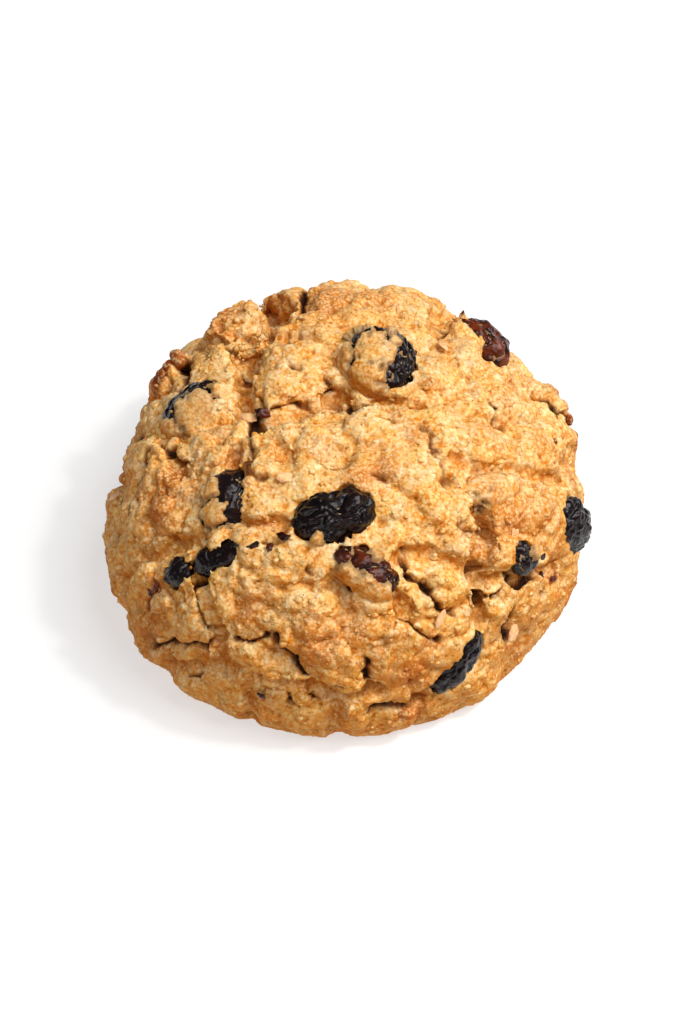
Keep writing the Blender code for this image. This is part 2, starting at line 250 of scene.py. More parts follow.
# Places that the oven caught: bearing, elevation, reach in mm, strength
HOT_SPOTS = {
    "left_nub": (150, 30, 2.5, 1.0),
    "left_nub_low": (155, 27, 2.5, 0.9),
    "left_nub_foot": (161, 28, 2.2, 0.55),
    "knob_top": (130, 40, 4.5, 0.55),
    "knob_side": (138, 42, 3.0, 0.35),
    "knob_fleck": (128, 51, 1.1, 0.9),
    "gap_wall": (143, 52, 1.5, 0.3),
    "crown_back": (98, 50, 6.0, 0.45),
    "crown_left": (110, 62, 4.0, 0.25),
    "crown_fleck": (130, 61, 1.8, 0.6),
    "crown_right": (75, 50, 4.0, 0.45),
    "shoulder": (-163, 53, 3.0, 0.40),
    "left_upper": (-158, 39, 2.6, 0.50),
    "left_cheek": (-154, 34, 4.5, 0.60),
    "left_cheek_low": (-146, 32, 3.0, 0.40),
    "over_cheek": (-146, 52, 2.4, 0.50),
    "small_left": (-139, 20, 1.5, 1.0),
    "small_left_foot": (-138, 11, 2.4, 0.50),
    "beside_centre": (-110, 45, 1.4, 0.7),
    "front_left": (-113, 28, 2.2, 0.45),
    "front_left_low": (-114, 24, 2.4, 0.40),
    "front": (-98, 24, 4.0, 0.50),
    "front_middle": (-87, 25, 4.0, 0.45),
    "front_right": (-75, 12, 4.2, 0.60),
    "front_right_pit": (-69, 19, 2.0, 0.55),
    "front_foot": (-75, 0, 3.0, 0.65),
    "above_centre": (-83, 59, 3.0, 0.60),
    "above_centre_right": (-68, 62, 3.0, 0.50),
    "right": (-36, 34, 5.5, 0.55),
    "hollow": (-38, 20, 1.8, 0.65),
    "hollow_red": (-33, 15, 1.2, 1.0),
    "hollow_low": (-30, 11, 1.2, 1.0),
    "right_dimple": (-6, 47, 1.5, 0.50),
    "right_dot": (-2, 31, 0.8, 1.0),
    "right_patch": (-10, 36, 2.2, 0.45),
    "right_upper": (-15, 52, 2.6, 0.40),
    "right_edge": (20, 22, 2.0, 0.95),
    "right_edge_low": (13, 20, 2.0, 0.65),
    "right_edge_high": (22, 36, 1.8, 0.60),
    "beside_ring": (8, 66, 1.5, 0.55),
    "back": (95, 38, 8.0, 0.35),
    "back_left": (112, 14, 9.0, 0.40),
    "back_right": (60, 20, 9.0, 0.40),
    "far_left": (175, 12, 7.0, 0.40),
    "far_right": (20, 8, 7.0, 0.35),
    "foot_left": (-140, 0, 6.0, 0.40),
}
HEART = Vector((0.0, 0.0, 8.0 * MM))


def smooth_step(share):
    """Eases a share from 0 to 1, level at both ends."""
    share = min(max(share, 0.0), 1.0)
    return share * share * (3.0 - 2.0 * share)


def merged_copy(node):
    """A bmesh of a CAD node with its loose triangles sewn together."""
    bm = bmesh.new()
    bm.from_mesh(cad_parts[node].data)
    bmesh.ops.remove_doubles(bm, verts=bm.verts, dist=SEW_DISTANCE)
    return bm


def remeshed(bm, voxel):
    """The same shape in even quads of about the voxel's size."""
    rough = object_of("remesh_source", bm)
    cubes = rough.modifiers.new("even_quads", "REMESH")
    cubes.mode = "VOXEL"
    cubes.voxel_size = voxel
    fine = bmesh.new()
    fine.from_object(rough, bpy.context.evaluated_depsgraph_get())
    bpy.data.objects.remove(rough)
    return fine


def thinned(bm, share):
    """The same surface in fewer faces, which go first where it is flat."""
    dense = object_of("thinning_source", bm)
    fewer = dense.modifiers.new("fewer_faces", "DECIMATE")
    fewer.ratio = share
    light = bmesh.new()
    light.from_object(dense, bpy.context.evaluated_depsgraph_get())
    bpy.data.objects.remove(dense)
    return light


def relax(bm, verts, rounds):
    """Smooths some vertices, round by round."""
    every_way = {"use_axis_x": True, "use_axis_y": True, "use_axis_z": True}
    for _ in range(rounds):
        bmesh.ops.smooth_vert(bm, verts=verts, factor=0.5, **every_way)


def pebbles(place, reach):
    """Round pebbles packed side by side. Gives the height and how near a seam the place is, as
    shares, and the pebble's own tone."""
    first, second, tone = 0.0, 0.0, 0.0
    for way, middle in zip(*noise.voronoi(place / reach)):
        radius = PEBBLE_SIZE + PEBBLE_SPREAD * noise.cell(middle * 9.7)
        rise = math.sqrt(max(radius * radius - way * way, 0.0))
        if rise > first:
            first, second, tone = rise, first, noise.cell(middle * 5.3)
        elif rise > second:
            second = rise
    return first - PEBBLE_LEVEL, 1.0 - smooth_step((first - second) * reach / SEAM_WIDTH), tone


def lump_height(place):
    """Lumps, crumb clusters and grains at a place in mm: their height in mm, how deep in a seam it
    is, and their tone."""
    bent = place + noise.noise_vector(place / BEND_REACH) * BEND_WIDTH
    rough = ROUGH_LEAST + ROUGH_SPAN * smooth_step(0.5 + 1.5 * noise.noise(place / ROUGH_REACH))
    height, seam, tones = 0.0, 0.0, []
    for reach, rise, step in LUMPS:
        share, near_seam, tone = pebbles(bent, reach)
        height += rough * (rise * share + step * tone * (1.0 - near_seam))
        seam += 0.4 * rough * near_seam
        tones.append(tone)
    tone = 0.5 + 0.5 * sum(share * tone for share, tone in zip(LUMP_TONES, tones))
    return height, min(seam, 1.0), min(max(tone, 0.0), 1.0)


def on_cookie(bearing, elevation):
    """The place on the cookie's skin that is seen from its heart at these two angles."""
    turn, rise = math.radians(bearing), math.radians(elevation)
    way = Vector((math.cos(turn) * math.cos(rise), math.sin(turn) * math.cos(rise), math.sin(rise)))
    return caster.ray_cast(HEART, way)[0]


def crease_points(route):
    """Places about a step apart along a smooth line over the skin through the stops of a route."""
    stops = [on_cookie(*stop) for stop in route]
    ends = [stops[0] * 2.0 - stops[1], *stops, stops[-1] * 2.0 - stops[-2]]
    line = []
    for before, start, end, after in zip(ends, ends[1:], ends[2:], ends[3:]):
        steps = max(3, int((end - start).length / CREASE_STEP))
        leaving = start + (end - before) / 6.0
        arriving = end - (after - start) / 6.0
        line += geometry.interpolate_bezier(start, leaving, arriving, end, steps)[:-1]
    return [caster.find_nearest(place)[0] for place in line]


body = remeshed(merged_copy("dough"), DOUGH_VOXEL)
tones = body.verts.layers.float_color.new("tones")
upper = [vert for vert in body.verts if vert.co.z > TRAY_SKIN]
relax(body, upper, FACET_ROUNDS)
body.normal_update()
shape = [vert.co.copy() for vert in body.verts]
facing = [vert.normal.copy() for vert in body.verts]
caster = BVHTree.FromBMesh(body)
relax(body, upper, HOLLOW_ROUNDS)
hollow = [(vert.co - place).dot(out) / MM for vert, place, out in zip(body.verts, shape, facing)]

crease_marks = []
for width, depth, route in CREASES.values():
    line = crease_points(route)
    for step, place in enumerate(line):
        uneven = 0.95 + 0.7 * noise.noise(place / UNEVEN_REACH)
        uneven = min(max(uneven, UNEVEN_LEAST), UNEVEN_MOST)
        end_share = min(step, len(line) - 1 - step) / TAPER_STEPS
        taper = smooth_step(0.35 + 0.65 * end_share)
        wide = width * CREASE_WIDENING * uneven
        deep = depth * CREASE_DEEPENING * uneven * taper
        crease_marks.append((place, wide, deep))
crease_tree = KDTree(len(crease_marks))
for index, mark in enumerate(crease_marks):
    crease_tree.insert(mark[0], index)
crease_tree.balance()
holes = [(on_cookie(turn, rise), radius * MM, depth) for turn, rise, radius, depth in HOLES.values()]
hot_spots = [(on_cookie(turn, rise), reach * MM, power) for turn, rise, reach, power in HOT_SPOTS.values()]

raisin_names = [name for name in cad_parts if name.startswith("raisin_")]
fruit = bmesh.new()
for name in raisin_names:
    fruit.from_mesh(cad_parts[name].data)
raisin_tree = BVHTree.FromBMesh(fruit)
fruit.free()


def crease_depth(place, out):
    """How far creases and holes cut below the skin at a place, how dark the painted shade inside it is,
    and how far the clumps' shoulder drops, with lengths in mm."""
    wobble = noise.noise_vector(place / WOBBLE_WIDE_REACH) * WOBBLE_WIDE
    wobble += noise.noise_vector(place / WOBBLE_FINE_REACH) * WOBBLE_FINE
    wobble -= out * wobble.dot(out)
    _, index, away = crease_tree.find(place + wobble * MM)
    _, width, depth = crease_marks[index]
    away /= MM
    inside = max(0.0, 1.0 - away / width)
    cut = depth * inside
    dark = min(1.0, depth / DARK_DEPTH) * smooth_step(1.2 * inside)
    shoulder = SHOULDER_DROP * min(1.0, depth) * (1.0 - smooth_step(away / SHOULDER_REACH))
    for middle, radius, deep in holes:
        near = (place + 0.5 * wobble * MM - middle).length / radius
        if near < 1.0:
            cut = max(cut, deep * (1.0 - near * near))
            dark = max(dark, smooth_step(1.6 * (1.0 - near)))
    return cut, dark, shoulder


for index, vert in enumerate(body.verts):
    place, out, deep = shape[index], facing[index], hollow[index]
    lumps, seam, tone = lump_height(place / MM)
    cut, dark, shoulder = crease_depth(place, out)
    calm = smooth_step(place.z / TRAY_CALM_HEIGHT)
    crack = smooth_step((deep - CRACK_START) / CRACK_SPAN)
    dig = CRACK_GAIN * min(max(deep, 0.0), CRACK_LIMIT)
    near, skin, _, away = raisin_tree.find_nearest(place, LIP_REACH * MM)
    lip = 0.0 if near is None or place.z < LIP_LOWEST else 1.0 - smooth_step(away / (LIP_REACH * MM))
    lumps *= (1.0 - CRACK_CALM * crack) * (1.0 - LIP_CALM * lip)
    vert.co = place + out * (lumps - dig - cut - shoulder) * calm * MM
    if lip > 0.0:
        uneven = smooth_step(0.55 + 1.3 * noise.noise(place / LIP_UNEVEN_REACH))
        vert.co += (out * LIP_RISE - skin * LIP_PULL) * lip * uneven * MM
    vert.co.z = max(vert.co.z, 0.0) if place.z > TRAY_FLAT else 0.0
    heat = sum(power * math.exp(-((place - spot).length / reach) ** 2) for spot, reach, power in hot_spots)
    # Painted shade: dark in creases, holes and hollows, and a little in the seams between lumps
    painted_shade = min(1.0, max(CRACK_SHADE * crack, dark) + SEAM_SHADE * seam)
    vert[tones] = (painted_shade, tone * (1.0 - 0.5 * lip), min(heat, 1.0), 0.5)
body.normal_update()
folded = [vert for vert, out in zip(body.verts, facing) if vert.normal.dot(out) < FOLDED_OVER]
relax(body, folded, FOLD_ROUNDS)
raised = [vert.co.copy() for vert in body.verts]
body.normal_update()
outward = [vert.normal.copy() for vert in body.verts]
relax(body, upper, CREST_ROUNDS)
# The crest value: hollows in the skin get painted shade and crests a painted highlight in the finish
for vert, place, out in zip(body.verts, raised, outward):
    cavity = (vert.co - place).dot(out) / MM
    painted_shade, tone, heat, _ = vert[tones]
    vert[tones] = (painted_shade, tone, heat, min(max(0.5 - CREST_GAIN * cavity, 0.0), 1.0))
    if (vert.co - place).length < SPIKE_LIMIT * MM:
        vert.co = place
body_places = [(vert.co.copy(), out, tuple(vert[tones])) for vert, out in zip(body.verts, outward)]
body = thinned(body, DOUGH_FACES / (2 * len(body.faces)))


# The finish that all baked dough shares, as a node group: golden and pale grains, brown where it
# was hot, with painted shade in the creases, hollows, seams, grain gaps and on the sides, and
# painted highlights on the crests and on the tops of grains that face up.
def new_group(name, inputs, outputs):
    """A shader node group with named inputs and outputs, and its two end nodes."""
    group = bpy.data.node_groups.new(name, "ShaderNodeTree")
    for label, kind, value in inputs:
        socket = group.interface.new_socket(label, in_out="INPUT", socket_type=kind)
        socket.default_value = value
    for label, kind in outputs:
        group.interface.new_socket(label, in_out="OUTPUT", socket_type=kind)
    return group, group.nodes.new("NodeGroupInput"), group.nodes.new("NodeGroupOutput")


def add(tree, kind, links=(), **values):
    """A node with its settings, and links from other nodes' sockets into its own."""
    node = tree.nodes.new(kind)
    for key, value in values.items():
        setattr(node, key, value)
    for target, source in dict(links).items():
        if isinstance(source, bpy.types.NodeSocket):
            tree.links.new(source, node.inputs[target])
        else:
            node.inputs[target].default_value = source
    return node


def srgb(red, green, blue):
    """A colour given as on a paint card, 0 to 255, as the shader wants it."""
    shares = (red / 255.0, green / 255.0, blue / 255.0)
    return tuple(s / 12.92 if s <= 0.04045 else ((s + 0.055) / 1.055) ** 2.4 for s in shares) + (1.0,)


def ramp(tree, source, stops):
    """A colour or a value for each stop of a value, blended between the stops."""
    node = add(tree, "ShaderNodeValToRGB", {0: source})
    while len(node.color_ramp.elements) < len(stops):
        node.color_ramp.elements.new(0.5)
    for element, (at, colour) in zip(node.color_ramp.elements, stops):
        element.position = at
        element.color = colour if isinstance(colour, tuple) else (colour, colour, colour, 1.0)
    return node.outputs["Color"]


def mix(tree, share, first, second, blend="MIX"):
    """Two colours blended by a share, or the first tinted by the second."""
    node = tree.nodes.new("ShaderNodeMix")
    node.data_type = "RGBA"
    node.blend_type = blend
    for target, value in ((0, share), (6, first), (7, second)):
        if isinstance(value, bpy.types.NodeSocket):
            tree.links.new(value, node.inputs[target])
        else:
            node.inputs[target].default_value = value
    return node.outputs[2]


def maths(tree, operation, *values, clamp=False):
    """One step of arithmetic on values or sockets."""
    node = tree.nodes.new("ShaderNodeMath")
    node.operation = operation
    node.use_clamp = clamp
    for socket, value in zip(node.inputs, values):
        if isinstance(value, bpy.types.NodeSocket):
            tree.links.new(value, socket)
        else:
            socket.default_value = value
    return node.outputs[0]


def grain_noise(tree, where, scale, detail=2.0, rough=0.5):
    """Soft random patches, from 0 to 1."""
    fields = {"Vector": where, "Scale": scale, "Detail": detail, "Roughness": rough}
    return add(tree, "ShaderNodeTexNoise", fields).outputs["Fac"]


def cells(tree, where, scale):
    """Cells packed at random: how far it is to a cell's middle, and the cell's own colour."""
    return add(tree, "ShaderNodeTexVoronoi", {"Vector": where, "Scale": scale, "Randomness": 1.0})


TAN_DOUGH = srgb(210, 146, 70)
LIGHT_DOUGH = srgb(238, 180, 96)
PALE_CRUMB = srgb(247, 213, 158)
GOLDEN_DOUGH = srgb(234, 156, 44)
AMBER_DOUGH = srgb(216, 132, 44)
BROWN_DOUGH = srgb(180, 98, 32)
BURNT_SUGAR = srgb(120, 48, 14)
# Painted shade in the creases: brown, then near black where they are deepest
SHADED_CRACK_BROWN = srgb(112, 58, 22)
SHADOWED_CRACK_DARK = srgb(36, 16, 7)
SPECK_BROWN = srgb(84, 42, 16)
# Painted shade in the hollows of the dough
WARM_SHADE = (0.80, 0.60, 0.34, 1.0)
# Painted shade on the sides that do not face up
SIDE_SHADE = (0.74, 0.56, 0.32, 1.0)
# Painted shade in the gaps between grains
GRAIN_GAP_SHADE = (0.76, 0.54, 0.30, 1.0)
SUGAR_GRAIN = (0.94, 0.84, 0.64, 1.0)
FLOUR_GRAIN = (1.02, 1.07, 1.16, 1.0)
# Painted highlight on the crests
CREST_HIGHLIGHT = (1.0, 1.06, 1.14, 1.0)
PALE_TINT = (1.0, 1.05, 1.16, 1.0)
WARM_TINT = (0.97, 0.85, 0.54, 1.0)
# The grains are stirred out of their even cells by up to this much
STIR_WIDTH = (0.8 * MM, 0.8 * MM, 0.8 * MM)

crust, given, out = new_group(
    "baked_crust",
    (("Crease_shade", "NodeSocketFloat", 0.0), ("Tone", "NodeSocketFloat", 0.5), ("Heat", "NodeSocketFloat", 0.0),
     ("Crest", "NodeSocketFloat", 0.5), ("Pale", "NodeSocketFloat", 0.0)),
    (("Color", "NodeSocketColor"), ("Roughness", "NodeSocketFloat"), ("Height", "NodeSocketFloat")),
)
coordinates = add(crust, "ShaderNodeTexCoord")
where = coordinates.outputs["Object"]
patches = grain_noise(crust, where, 150.0, 3.0, 0.55)
small_patches = grain_noise(crust, where, 420.0, 3.0, 0.55)
# How far the skin faces up: it paints shade on the sides and highlights on up-facing grain tops
way_out = add(crust, "ShaderNodeSeparateXYZ", {"Vector": coordinates.outputs["Normal"]})
upward = ramp(crust, way_out.outputs["Z"], ((0.20, 0.0), (0.78, 1.0)))
stir = add(crust, "ShaderNodeTexNoise", {"Vector": where, "Scale": 800.0}).outputs["Color"]
stirring = {0: stir, 1: STIR_WIDTH, 2: where}
stirred = add(crust, "ShaderNodeVectorMath", stirring, operation="MULTIPLY_ADD").outputs[0]
grain = cells(crust, stirred, 1700.0)
fine_grain = cells(crust, stirred, 3200.0)
specks = cells(crust, where, 850.0)
pores = grain_noise(crust, where, 1300.0, 2.0, 0.5)
nugget = ramp(crust, given.outputs["Tone"], (
    (0.10, TAN_DOUGH), (0.32, LIGHT_DOUGH), (0.50, PALE_CRUMB),
    (0.66, LIGHT_DOUGH), (0.82, GOLDEN_DOUGH), (0.97, AMBER_DOUGH)))
bits = ramp(crust, small_patches, (
    (0.36, TAN_DOUGH), (0.46, PALE_CRUMB), (0.54, PALE_CRUMB), (0.62, GOLDEN_DOUGH)))
fleck_noise = grain_noise(crust, where, 900.0, 2.0, 0.5)
flecks = ramp(crust, fleck_noise, ((0.44, GOLDEN_DOUGH), (0.56, PALE_CRUMB)))
shade = mix(crust, 0.50, mix(crust, 0.50, nugget, bits), flecks)
warm_noise = grain_noise(crust, where, 260.0, 2.0, 0.5)
warmth = ramp(crust, warm_noise, ((0.40, PALE_TINT), (0.60, WARM_TINT)))
shade = mix(crust, 1.0, shade, warmth, "MULTIPLY")
paled = mix(crust, given.outputs["Pale"], shade, PALE_CRUMB)
brown_patch = maths(crust, "MULTIPLY", ramp(crust, patches, ((0.50, 0.0), (0.68, 0.55))),
                    ramp(crust, given.outputs["Crest"], ((0.3, 0.4), (0.6, 1.0))), clamp=True)
browned = mix(crust, brown_patch, paled, BROWN_DOUGH)
warm_share = ramp(crust, given.outputs["Heat"], ((0.0, 0.0), (0.6, 0.75)))
toasted = mix(crust, warm_share, browned, AMBER_DOUGH)
hot_share = ramp(crust, given.outputs["Heat"], ((0.3, 0.0), (0.7, 0.5), (1.0, 0.85)))
heated = mix(crust, hot_share, toasted, BROWN_DOUGH)
burnt_share = ramp(crust, given.outputs["Heat"], ((0.6, 0.0), (1.0, 0.85)))
caught = mix(crust, burnt_share, heated, BURNT_SUGAR)
# Painted shade on the sides, then paler grain centres, partly a painted highlight, where the skin faces up
side_shaded = mix(crust, 1.0, caught, ramp(crust, upward, ((0.0, SIDE_SHADE), (1.0, 1.0))), "MULTIPLY")
flour_and_highlight_share = ramp(crust, grain.outputs["Distance"], ((0.0, 0.70), (0.35, 0.40), (0.6, 0.0)))
pale_top_and_highlight = mix(crust, maths(crust, "MULTIPLY", flour_and_highlight_share, upward), side_shaded, PALE_CRUMB)
# Painted shade in the gaps between grains, stronger in some patches than others
gap_shade_share = ramp(crust, pores, ((0.44, 0.05), (0.60, 0.9)))
gap_shade = ramp(crust, grain.outputs["Distance"], ((0.42, 1.0), (0.80, GRAIN_GAP_SHADE)))
gap_shaded = mix(crust, gap_shade_share, pale_top_and_highlight, gap_shade, "MULTIPLY")
grain_shade = add(crust, "ShaderNodeSeparateColor", {"Color": grain.outputs["Color"]}).outputs["Red"]
grain_tint = ramp(crust, grain_shade, ((0.0, SUGAR_GRAIN), (0.5, 1.0), (1.0, FLOUR_GRAIN)))
grainy = mix(crust, 0.8, gap_shaded, grain_tint, "MULTIPLY")
# Painted shade in hollows and a painted highlight on crests
crest_shade_and_highlight = ramp(crust, given.outputs["Crest"], ((0.18, WARM_SHADE), (0.5, 1.0), (0.85, CREST_HIGHLIGHT)))
lit = mix(crust, 1.0, grainy, crest_shade_and_highlight, "MULTIPLY")
# Painted shade in creases, holes and seams: brown, then near black where deepest
crack_share = ramp(crust, given.outputs["Crease_shade"], ((0.12, 0.0), (0.60, 0.85)))
in_crack = mix(crust, crack_share, lit, SHADED_CRACK_BROWN)
dark_share = ramp(crust, given.outputs["Crease_shade"], ((0.55, 0.0), (0.95, 0.95)))
in_dark = mix(crust, dark_share, in_crack, SHADOWED_CRACK_DARK)
speck_mask = maths(crust, "MULTIPLY", ramp(crust, specks.outputs["Distance"], ((0.06, 1.0), (0.13, 0.0))),
                   ramp(crust, grain_noise(crust, where, 240.0), ((0.44, 0.0), (0.52, 1.0))))
specked = mix(crust, maths(crust, "MULTIPLY", speck_mask, 0.9), in_dark, SPECK_BROWN)
crust.links.new(specked, out.inputs["Color"])
glint = ramp(crust, fine_grain.outputs["Distance"], ((0.1, 0.44), (0.5, 0.64)))
crust.links.new(glint, out.inputs["Roughness"])
round_grain = maths(crust, "MULTIPLY", maths(crust, "POWER", grain.outputs["Distance"], 2.0), -1.0)
fine_rise = maths(crust, "MULTIPLY", fine_grain.outputs["Distance"], -0.25)
rise = maths(crust, "ADD", round_grain, fine_rise)
rise = maths(crust, "ADD", rise, maths(crust, "MULTIPLY", pores, 0.35))
crust.links.new(rise, out.inputs["Height"])

GRAIN_DEPTH = 0.11 * MM
# The grey brown of dough that is thin enough for a raisin to show through
THIN_FILM = srgb(128, 104, 74)


def dough_material(name, pale, over_raisin=False):
    """Baked dough on a mesh with the tones attribute: painted crease shade, tone, heat and crest, the
    last painting shade in hollows and highlight on crests. Over a raisin the thin attribute greys it."""
    made = bpy.data.materials.new(name)
    made.use_nodes = True
    tree = made.node_tree
    shader = tree.nodes["Principled BSDF"]
    marks = add(tree, "ShaderNodeAttribute", attribute_name="tones")
    split = add(tree, "ShaderNodeSeparateColor", {"Color": marks.outputs["Color"]})
    group = tree.nodes.new("ShaderNodeGroup")
    group.node_tree = crust
    tree.links.new(split.outputs["Red"], group.inputs["Crease_shade"])
    tree.links.new(split.outputs["Green"], group.inputs["Tone"])
    tree.links.new(split.outputs["Blue"], group.inputs["Heat"])
    tree.links.new(marks.outputs["Alpha"], group.inputs["Crest"])
    group.inputs["Pale"].default_value = pale
    grains = {"Height": group.outputs["Height"], "Distance": GRAIN_DEPTH, "Strength": 1.0}
    bump = add(tree, "ShaderNodeBump", grains)
    colour = group.outputs["Color"]
    if over_raisin:
        thin = add(tree, "ShaderNodeAttribute", attribute_name="thin").outputs["Fac"]
        colour = mix(tree, thin, colour, THIN_FILM)
    tree.links.new(colour, shader.inputs["Base Color"])
    tree.links.new(group.outputs["Roughness"], shader.inputs["Roughness"])
    tree.links.new(bump.outputs["Normal"], shader.inputs["Normal"])
    shader.inputs["Specular IOR Level"].default_value = 0.08
    shader.inputs["Subsurface Weight"].default_value = 0.25
    shader.inputs["Subsurface Radius"].default_value = (1.0, 0.5, 0.2)
    shader.inputs["Subsurface Scale"].default_value = 1.2 * MM
    return made


baked = dough_material("baked_dough", 0.0)
dough = object_of("cookie_dough", body, baked)
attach(dough, "root")
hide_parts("dough")


# --------------------------------------------------------------------------------------------------
# Crumbs. Rubbed-in butter and flour left the crust covered in small round crumbs and, between
# them, finer grains. Each is baked on, more than half sunk in the dough.
# How many, how finely they are rounded, their radius in mm, and the share of it that is sunk
CRUMB_KINDS = {
    "butter_crumbs": {"count": 1300, "rounds": 2, "radius": (0.35, 0.85), "sink": 0.60, "seed": 11},
    "fine_grains": {"count": 9500, "rounds": 1, "radius": (0.20, 0.40), "sink": 0.65, "seed": 23},
}
CRUMB_SHAPES = 12
CRUMB_STRETCH = (0.75, 1.2)
CRUMB_DENT, CRUMB_TONE_SPREAD = 0.25, 0.3
# Crumbs keep this far from raisins and from the tray, and out of the deeper creases
CRUMB_CLEARANCE = 0.8 * MM
CRUMB_TOP_CREVICE = 0.55


def turned_to(out, dice):
    """A turn that stands a piece on the skin, spun at random."""
    standing = out.to_track_quat("Z", "Y").to_matrix().to_4x4()
    return standing @ Matrix.Rotation(dice.uniform(0.0, math.tau), 4, "Z")


def scatter_spots(dice, count):
    """Places on the open skin for small things, with the way out and the tones of the dough there."""
    spots = []
    while len(spots) < count:
        place, out, marks = dice.choice(body_places)
        near = raisin_tree.find_nearest(place, CRUMB_CLEARANCE)[0]
        if place.z > CRUMB_CLEARANCE and marks[0] < CRUMB_TOP_CREVICE and near is None:
            spots.append((place, out, marks))
    return spots


def lumpy_crumbs(rounds, dice):
    """A few round crumbs of unit size, each dented its own way, as meshes with the tones attribute."""
    shapes = []
    for number in range(CRUMB_SHAPES):
        crumb = bmesh.new()
        crumb.verts.layers.float_color.new("tones")
        bmesh.ops.create_icosphere(crumb, subdivisions=rounds, radius=1.0)
        stretch = [dice.uniform(*CRUMB_STRETCH) for _ in range(3)]
        for vert in crumb.verts:
            vert.co *= 1.0 + CRUMB_DENT * noise.noise(vert.co * 1.3 + Vector((3.1 * number, 0.0, 7.7)))
            vert.co = Vector([part * share for part, share in zip(vert.co, stretch)])
        mesh = bpy.data.meshes.new("crumb_shape")
        crumb.to_mesh(mesh)
        crumb.free()
        shapes.append(mesh)
    return shapes


def strew(heap, mesh, placed, marks):
    """Adds a copy of a small shape to a heap, placed by a matrix, all of it with the same tones."""
    piece = mesh.copy()
    piece.transform(placed)
    piece.attributes["tones"].data.foreach_set("color", marks * len(piece.vertices))
    heap.from_mesh(piece)
    bpy.data.meshes.remove(piece)


crumb_material = dough_material("crumb_dough", 0.12)
for kind, numbers in CRUMB_KINDS.items():
    dice = random.Random(numbers["seed"])
    crumb_shapes = lumpy_crumbs(numbers["rounds"], dice)
    heap = bmesh.new()
    for place, out, marks in scatter_spots(dice, numbers["count"]):
        radius = dice.uniform(*numbers["radius"]) * MM
        spot = Matrix.Translation(place - out * radius * numbers["sink"])
        tone = min(max(marks[1] + dice.uniform(-CRUMB_TONE_SPREAD, CRUMB_TONE_SPREAD), 0.0), 1.0)
        placed = spot @ turned_to(out, dice) @ Matrix.Scale(radius, 4)
        # The crumb takes on the painted crease shade of the dough under it
        strew(heap, dice.choice(crumb_shapes), placed, (marks[0] * 0.8, tone, marks[2], 0.5))
    crumbs = object_of(kind, heap, crumb_material)
    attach(crumbs, "root")


# --------------------------------------------------------------------------------------------------
# Caught nubs. Crumbs that stood off the dough at its edges and caught the heat: round knobs of
# dark burnt sugar, stuck to the side of the cookie.
# Bearing, elevation, radius in mm, how burnt
CAUGHT_NUBS = (
    (148, 33, 1.5, 0.8), (151, 30, 1.1, 1.0), (153, 28, 1.4, 0.9), (156, 25, 1.2, 0.7),
    (158, 23, 1.0, 0.6), (146, 36, 1.0, 0.4), (15, 18, 1.0, 1.0), (12, 16, 0.8, 1.0),
    (18, 21, 1.0, 0.6), (9, 17, 0.7, 0.9), (23, 38, 1.1, 0.4), (18, 30, 1.0, 0.4),
    (-2, 31, 0.5, 1.0), (-75, -1, 1.2, 0.6), (-77, 0, 0.9, 0.7), (124, 44, 1.1, 0.4),
    (70, 22, 1.1, 0.6), (112, 30, 1.0, 0.5),
)
NUB_SINK, NUB_STRETCH = 0.8, 1.4
NUB_SEED = 7

dice = random.Random(NUB_SEED)
nub_shapes = lumpy_crumbs(3, dice)
nubs = bmesh.new()
for bearing, rise, radius, burnt in CAUGHT_NUBS:
    place = on_cookie(bearing, rise)
    out = caster.find_nearest(place)[1]
    spot = Matrix.Translation(place - out * radius * MM * NUB_SINK)
    long = Matrix.Scale(NUB_STRETCH, 4, (1.0, 0.0, 0.0))
    placed = spot @ turned_to(out, dice) @ Matrix.Scale(radius * MM, 4) @ long
    # A crest value a little over the middle gives the nubs a slight painted highlight
    strew(nubs, dice.choice(nub_shapes), placed, (0.0, 0.6, burnt, 0.6))
knobs = object_of("caught_nubs", nubs, crumb_material)
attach(knobs, "root")


# --------------------------------------------------------------------------------------------------
# Oat flakes. Rolled oats, flat ovals with a crease down the middle, pale and a little pink. They lie
# in the skin of the dough, about half buried.
FLAKE_LENGTH, FLAKE_WIDTH, FLAKE_THICKNESS = 4.0, 2.2, 0.55
# The crease's depth and width in mm, how far the rim is ragged, and how much each is bent
FLAKE_DENT, FLAKE_DENT_WIDTH, FLAKE_RAGGED = 0.18, 0.35, 0.25
FLAKE_TWIST, FLAKE_RISE = 0.12, 0.20
FLAKE_SHARES, FLAKE_TILT = (0.65, 1.0), 0.25
FLAKE_COUNT, FLAKE_SEED = 3, 31
# Flakes that show well: bearing, elevation, turn in degrees
PLACED_FLAKES = ((-67, 24, 60), (36, 56, 20), (-118, 57, 10), (-47, 8, 75))
OAT_PINK = srgb(222, 152, 98)
OAT_CREAM = srgb(246, 200, 138)

oat_material = plain_material("oat_flakes", OAT_CREAM[:3], 0.5)
tree = oat_material.node_tree
where = add(tree, "ShaderNodeTexCoord").outputs["Object"]
streaks = grain_noise(tree, where, 900.0, 4.0, 0.7)
oat_colour = mix(tree, ramp(tree, streaks, ((0.35, 0.0), (0.65, 1.0))), OAT_PINK, OAT_CREAM)
tree.links.new(oat_colour, tree.nodes["Principled BSDF"].inputs["Base Color"])
oat_bump = add(tree, "ShaderNodeBump", {"Height": streaks, "Distance": 0.2 * MM, "Strength": 0.7})
tree.links.new(oat_bump.outputs["Normal"], tree.nodes["Principled BSDF"].inputs["Normal"])


